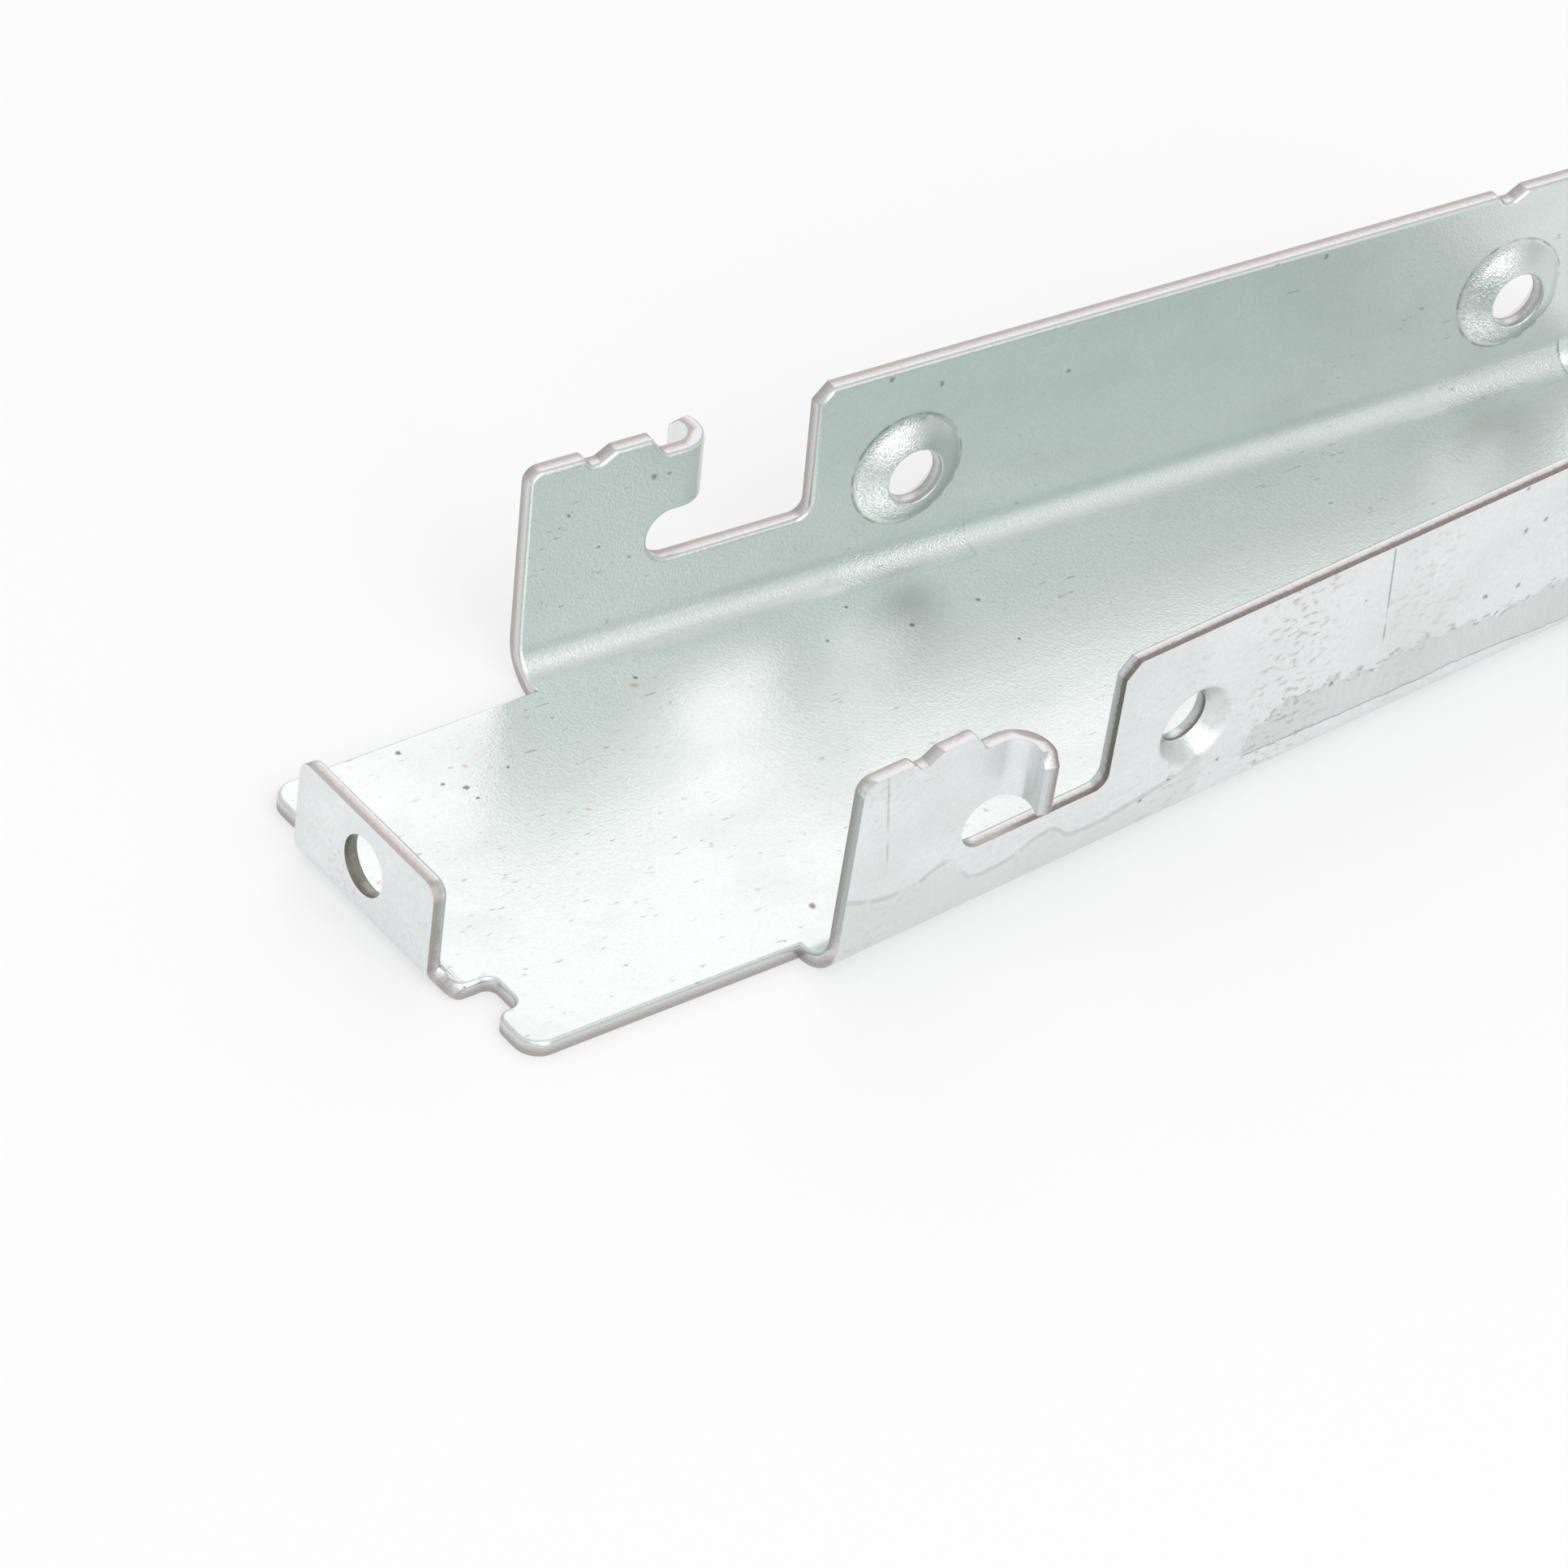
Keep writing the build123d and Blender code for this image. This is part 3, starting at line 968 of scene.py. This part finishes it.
@dataclass
class FoldedSheet:
    """The whole bracket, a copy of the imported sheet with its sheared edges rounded.

    Attributes:
        sheet: Thickness of the sheet.
        draw_in: Radius that the punch draws over the edges on the channel side.
        draw_in_faces: Faces across that round.
        burr: Radius left on the outside edges.
        burr_faces: Faces across that round.
        weld: Distance under which corners are one.
        flat: Faces that meet at less than this angle, in degrees, are one.
        crease: Skin ends where faces meet at more than this angle, in degrees.
        sharp: Shading breaks where faces meet at more than this angle, in degrees.
        hole_wall: Reach of a dimpled hole's own wall from its axis.
        hole_depth: Reach of that wall along the axis, from the outer face.
        steep: Share of a face's normal along the axis, below which it is part of that wall.
        level: Share of a face's normal along Z, above which it is part of the web.
        front_lug: How far the front wall's lug and hook reach along it, and how high they start.  The
            punch cut them, and the wall's end, from the outside.
        walls: Where the walls and their holes are.
    """

    sheet: float = 1.2 * MM
    draw_in: float = 0.34 * MM
    draw_in_faces: int = 4
    burr: float = 0.06 * MM
    burr_faces: int = 2
    weld: float = 0.001 * MM
    flat: float = 0.5
    crease: float = 40.0
    sharp: float = 30.0
    hole_wall: float = 2.45 * MM
    hole_depth: float = 4.8 * MM
    steep: float = 0.5
    level: float = 0.999
    front_lug: Pair = (16.0 * MM, 8.5 * MM)
    walls: WallPlace = WallPlace()

    def merged_copy(self) -> bmesh.types.BMesh:
        """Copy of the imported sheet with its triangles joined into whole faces.

        Returns:
            The closed mesh.
        """
        shape = bmesh.new()
        shape.from_mesh(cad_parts[NODE].data)
        bmesh.ops.remove_doubles(shape, verts=shape.verts, dist=self.weld)
        bmesh.ops.dissolve_limit(
            shape, angle_limit=math.radians(self.flat), verts=shape.verts, edges=shape.edges
        )
        shape.normal_update()
        shape.faces.ensure_lookup_table()
        return shape

    def in_hole(self, face: bmesh.types.BMFace, axes: list[tuple[Vector, Vector]]) -> bool:
        """Tells whether a face is part of a dimpled hole's own wall.

        Args:
            face: The face.
            axes: The axes of the holes.

        Returns:
            True for the steep faces close to an axis.
        """
        middle = face.calc_center_median()
        for point, out in axes:
            away = middle - point
            deep = away.dot(out)
            if (away - out * deep).length < self.hole_wall and abs(deep) < self.hole_depth:
                return abs(face.normal.dot(out)) < self.steep
        return False

    def spread(
        self, start: bmesh.types.BMFace, axes: list[tuple[Vector, Vector]]
    ) -> set[bmesh.types.BMFace]:
        """Collects a skin, from one of its faces as far as the sheared edges.

        Args:
            start: A face of the skin.
            axes: The axes of the holes.

        Returns:
            All the faces of the skin.
        """
        limit = math.radians(self.crease)
        skin, waiting = {start}, [start]
        while waiting:
            for edge in waiting.pop().edges:
                for face in edge.link_faces:
                    if face in skin or edge.calc_face_angle() > limit or self.in_hole(face, axes):
                        continue
                    skin.add(face)
                    waiting.append(face)
        return skin

    def join_islands(self, shape: bmesh.types.BMesh) -> None:
        """Gives each group of sheared faces that only one skin surrounds to that skin.

        Args:
            shape: The sheet, with its faces sorted.
        """
        waiting = {face for face in shape.faces if face.material_index == Surface.SHEARED.value}
        while waiting:
            group, front = set(), [waiting.pop()]
            beside = set()
            while front:
                face = front.pop()
                group.add(face)
                near = {other for edge in face.edges for other in edge.link_faces}
                beside |= {other.material_index for other in near}
                front += near & waiting
                waiting -= near
            skins = beside - {Surface.SHEARED.value}
            if len(skins) == 1:
                for face in group:
                    face.material_index = min(skins)

    def sort_faces(self, shape: bmesh.types.BMesh) -> None:
        """Gives each face the slot of the surface that it lies on.

        Args:
            shape: The merged sheet.
        """
        axes = self.walls.holes()
        upper = [
            face for face in shape.faces
            if face.normal.z > self.level and face.calc_center_median().z < 2 * self.sheet
        ]
        lower = [face for face in shape.faces if face.normal.z < -self.level]
        seeds = {
            Surface.CHANNEL_SIDE: max(upper, key=lambda face: face.calc_area()),
            Surface.OUTSIDE: max(lower, key=lambda face: face.calc_area()),
        }
        for face in shape.faces:
            face.material_index = Surface.SHEARED.value
        for surface, seed in seeds.items():
            for face in self.spread(seed, axes):
                face.material_index = surface.value
        self.join_islands(shape)
        for surface in Surface:
            count = sum(face.material_index == surface.value for face in shape.faces)
            LOG.info("%s: %d faces", surface.name.lower(), count)

    def round_edges(self, shape: bmesh.types.BMesh, surface: Surface, radius: float, segments: int) -> None:
        """Rounds the edges between one skin and the sheared faces.

        Args:
            shape: The sheet.
            surface: The skin.
            radius: Radius of the round.
            segments: Faces across the round.
        """
        sides = {surface.value, Surface.SHEARED.value}
        limit = math.radians(self.crease)
        edges = [
            edge for edge in shape.edges
            if {face.material_index for face in edge.link_faces} == sides and edge.calc_face_angle() > limit
        ]
        bmesh.ops.bevel(
            shape, geom=edges, offset=radius, offset_type="OFFSET", affect="EDGES", segments=segments,
            profile=0.5, material=-1, clamp_overlap=False,
        )
        shape.normal_update()

    def mark_depth(self, shape: bmesh.types.BMesh, channel_side: BVHTree) -> None:
        """Writes how far each point lies from the channel side, as a share of the thickness.

        Args:
            shape: The sheet.
            channel_side: The skin on the channel side, before its edges were rounded.
        """
        layer = shape.verts.layers.float.new("depth")
        foot, along, _, _ = self.walls.axes(-1)
        for point in shape.verts:
            share = min(channel_side.find_nearest(point.co)[3] / self.sheet, 1.0)
            reach = (point.co - foot).dot(along)
            at_end = reach < self.sheet and point.co.z > 2 * self.sheet
            on_front = point.co.y < 0 and -self.sheet < reach < self.front_lug[0]
            on_lug = on_front and (at_end or point.co.z > self.front_lug[1])
            point[layer] = 1 - share if on_lug else share

    def build(self, finishes: dict[Surface, bpy.types.Material]) -> bpy.types.Object:
        """Builds the sheet and gives it its finishes.

        Args:
            finishes: The material of each surface.

        Returns:
            The finished piece.
        """
        shape = self.merged_copy()
        self.sort_faces(shape)
        skin = shape.copy()
        others = [face for face in skin.faces if face.material_index != Surface.CHANNEL_SIDE.value]
        bmesh.ops.delete(skin, geom=others, context="FACES")
        channel_side = BVHTree.FromBMesh(skin)
        skin.free()
        self.round_edges(shape, Surface.CHANNEL_SIDE, self.draw_in, self.draw_in_faces)
        self.round_edges(shape, Surface.OUTSIDE, self.burr, self.burr_faces)
        self.mark_depth(shape, channel_side)
        mesh = bpy.data.meshes.new("bracket_sheet")
        for face in shape.faces:
            face.smooth = True
        shape.to_mesh(mesh)
        shape.free()
        mesh.set_sharp_from_angle(angle=math.radians(self.sharp))
        for surface in Surface:
            mesh.materials.append(finishes[surface])
        piece = bpy.data.objects.new("bracket_sheet", mesh)
        bpy.context.scene.collection.objects.link(piece)
        weighted = piece.modifiers.new("even_shading", "WEIGHTED_NORMAL")
        weighted.keep_sharp = True
        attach(piece, BODY)
        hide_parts(NODE)
        return piece


@dataclass
class Softbox:
    """A large soft lamp aimed at the bracket.

    Attributes:
        name: Name of the lamp.
        bearing: Bearing of the lamp from the bracket, in degrees from the X axis.
        height: Angle of the lamp above the table, in degrees.
        radiance: Brightness of its face, where 1 is white.
        colour: Colour of its light.
        size: Width of the square lamp.
        distance: Distance of the lamp from the bracket.
        target: Point that it faces.
    """

    name: str
    bearing: float
    height: float
    radiance: float
    colour: str = "#FFFFFF"
    size: float = 0.9
    distance: float = 1.4
    target: Triple = (0.03, 0.0, 0.0)

    def build(self) -> None:
        """Makes the lamp, hidden from the camera."""
        lamp = bpy.data.lights.new(self.name, "AREA")
        lamp.shape = "SQUARE"
        lamp.size = self.size
        lamp.color = linear(self.colour)[:3]
        lamp.energy = self.radiance * math.pi * self.size ** 2
        bearing, height = math.radians(self.bearing), math.radians(self.height)
        level = Vector((math.cos(bearing), math.sin(bearing), 0)) * math.cos(height)
        towards = level + Vector((0, 0, math.sin(height)))
        holder = bpy.data.objects.new(self.name, lamp)
        holder.location = Vector(self.target) + towards * self.distance
        holder.rotation_euler = (-towards).to_track_quat("-Z", "Y").to_euler()
        holder.visible_camera = False
        bpy.context.scene.collection.objects.link(holder)
        LOG.info("%s: bearing %g, height %g", self.name, self.bearing, self.height)


@dataclass
class Studio:
    """Pale table, even surroundings, soft lamps and the camera.

    Attributes:
        table_width: Width of the table.
        table_drop: Gap between the sheet and the table.
        table_colour: Colour of the table.
        table_light: Share of the table that stays white in the bracket's shadow.
        surroundings: Brightness of the walls and ceiling around the table.
        lamps: The lamps.
        eye: Place of the camera.
        turn: Angles of the camera, in degrees.
        lens: Focal length of the camera, in millimetres.
        sensor: Width of the camera's sensor, in millimetres.
        near: Distance in front of the camera at which it starts to see.
    """

    table_width: float = 4.0
    table_drop: float = 0.02 * MM
    table_colour: str = "#F8F8F9"
    table_light: float = 0.45
    surroundings: float = 0.80
    lamps: tuple[Softbox, ...] = (
        Softbox("front_high_softbox", 270, 52, 0.94, "#FFFCFD"),
        Softbox("front_low_softbox", 266, 14, 1.15, "#FFFCFD"),
        Softbox("left_high_softbox", 225, 52, 0.38),
        Softbox("left_low_softbox", 225, 22, 0.34),
        Softbox("rear_softbox", 50, 40, 0.56, "#FFF3F7", 1.15),
        Softbox("far_left_softbox", 165, 30, 0.16),
    )
    eye: Triple = (-0.32352, -0.389418, 0.405128)
    turn: Triple = (51.45533, -5.73437, -36.02480)
    lens: float = 217.928
    sensor: float = 36.0
    near: float = 0.01

    def seen_directly(self, tree: bpy.types.NodeTree) -> Socket:
        """1 for what the camera sees, directly or mirrored in the metal, and else 0.

        Args:
            tree: The node tree to build in.

        Returns:
            The mask.
        """
        path = add_node(tree, "LightPath")
        rays = [path.outputs[f"Is {kind} Ray"] for kind in ("Camera", "Glossy", "Transmission")]
        return Painter(tree).most(*rays)

    def table(self) -> None:
        """Makes the table, white to the eye and with the bracket's shadow on it."""
        surface = bmesh.new()
        bmesh.ops.create_grid(surface, x_segments=1, y_segments=1, size=self.table_width / 2)
        bmesh.ops.translate(surface, verts=surface.verts, vec=(0, 0, -self.table_drop))
        mesh = bpy.data.meshes.new("table")
        surface.to_mesh(mesh)
        surface.free()
        material, tree = new_material("white_laminate")
        matt = add_node(tree, "BsdfDiffuse", {}, {"Color": linear(self.table_colour)})
        white = add_node(tree, "Emission", {}, {"Color": (1, 1, 1, 1), "Strength": 1.0})
        share = add_node(tree, "Math", {"operation": "MULTIPLY"}, {
            0: self.seen_directly(tree), 1: self.table_light,
        })
        mixed = add_node(tree, "MixShader", {}, {
            0: share.outputs[0], 1: matt.outputs[0], 2: white.outputs[0],
        })
        add_node(tree, "OutputMaterial", {}, {"Surface": mixed.outputs[0]})
        mesh.materials.append(material)
        piece = bpy.data.objects.new("table", mesh)
        bpy.context.scene.collection.objects.link(piece)

    def world(self) -> None:
        """Makes even surroundings, white behind the table."""
        world = bpy.data.worlds.new("studio")
        bpy.context.scene.world = world
        world.use_nodes = True
        tree = world.node_tree
        tree.nodes.clear()
        path = add_node(tree, "LightPath")
        strength = add_node(tree, "MapRange", {}, {
            "Value": path.outputs["Is Camera Ray"], "To Min": self.surroundings, "To Max": 1.0,
        })
        light = add_node(tree, "Background", {}, {
            "Color": (1, 1, 1, 1), "Strength": strength.outputs["Result"],
        })
        add_node(tree, "OutputWorld", {}, {"Surface": light.outputs[0]})

    def camera(self) -> None:
        """Places the camera, without depth of field or shift."""
        data = bpy.data.cameras.new("camera")
        data.sensor_width = self.sensor
        data.lens = self.lens
        data.clip_start = self.near
        holder = bpy.data.objects.new("camera", data)
        holder.location = self.eye
        holder.rotation_euler = Euler([math.radians(angle) for angle in self.turn])
        bpy.context.scene.collection.objects.link(holder)
        bpy.context.scene.camera = holder

    def build(self) -> None:
        """Builds the whole studio."""
        self.table()
        self.world()
        for lamp in self.lamps:
            lamp.build()
        self.camera()
        bpy.context.scene.view_settings.view_transform = "Standard"


def main() -> None:
    """Builds the bracket and its studio in order."""
    logging.basicConfig(level=logging.INFO, format="%(message)s")
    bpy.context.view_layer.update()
    finishes = {
        Surface.CHANNEL_SIDE: ChannelZinc().material(),
        Surface.OUTSIDE: OuterZinc().material(),
        Surface.SHEARED: ShearedEdge().material(),
    }
    piece = FoldedSheet().build(finishes)
    LOG.info("%s: %d faces", piece.name, len(piece.data.polygons))
    Studio().build()
    LOG.info("studio: table, lamps and camera")


if __name__ == "__main__":
    main()
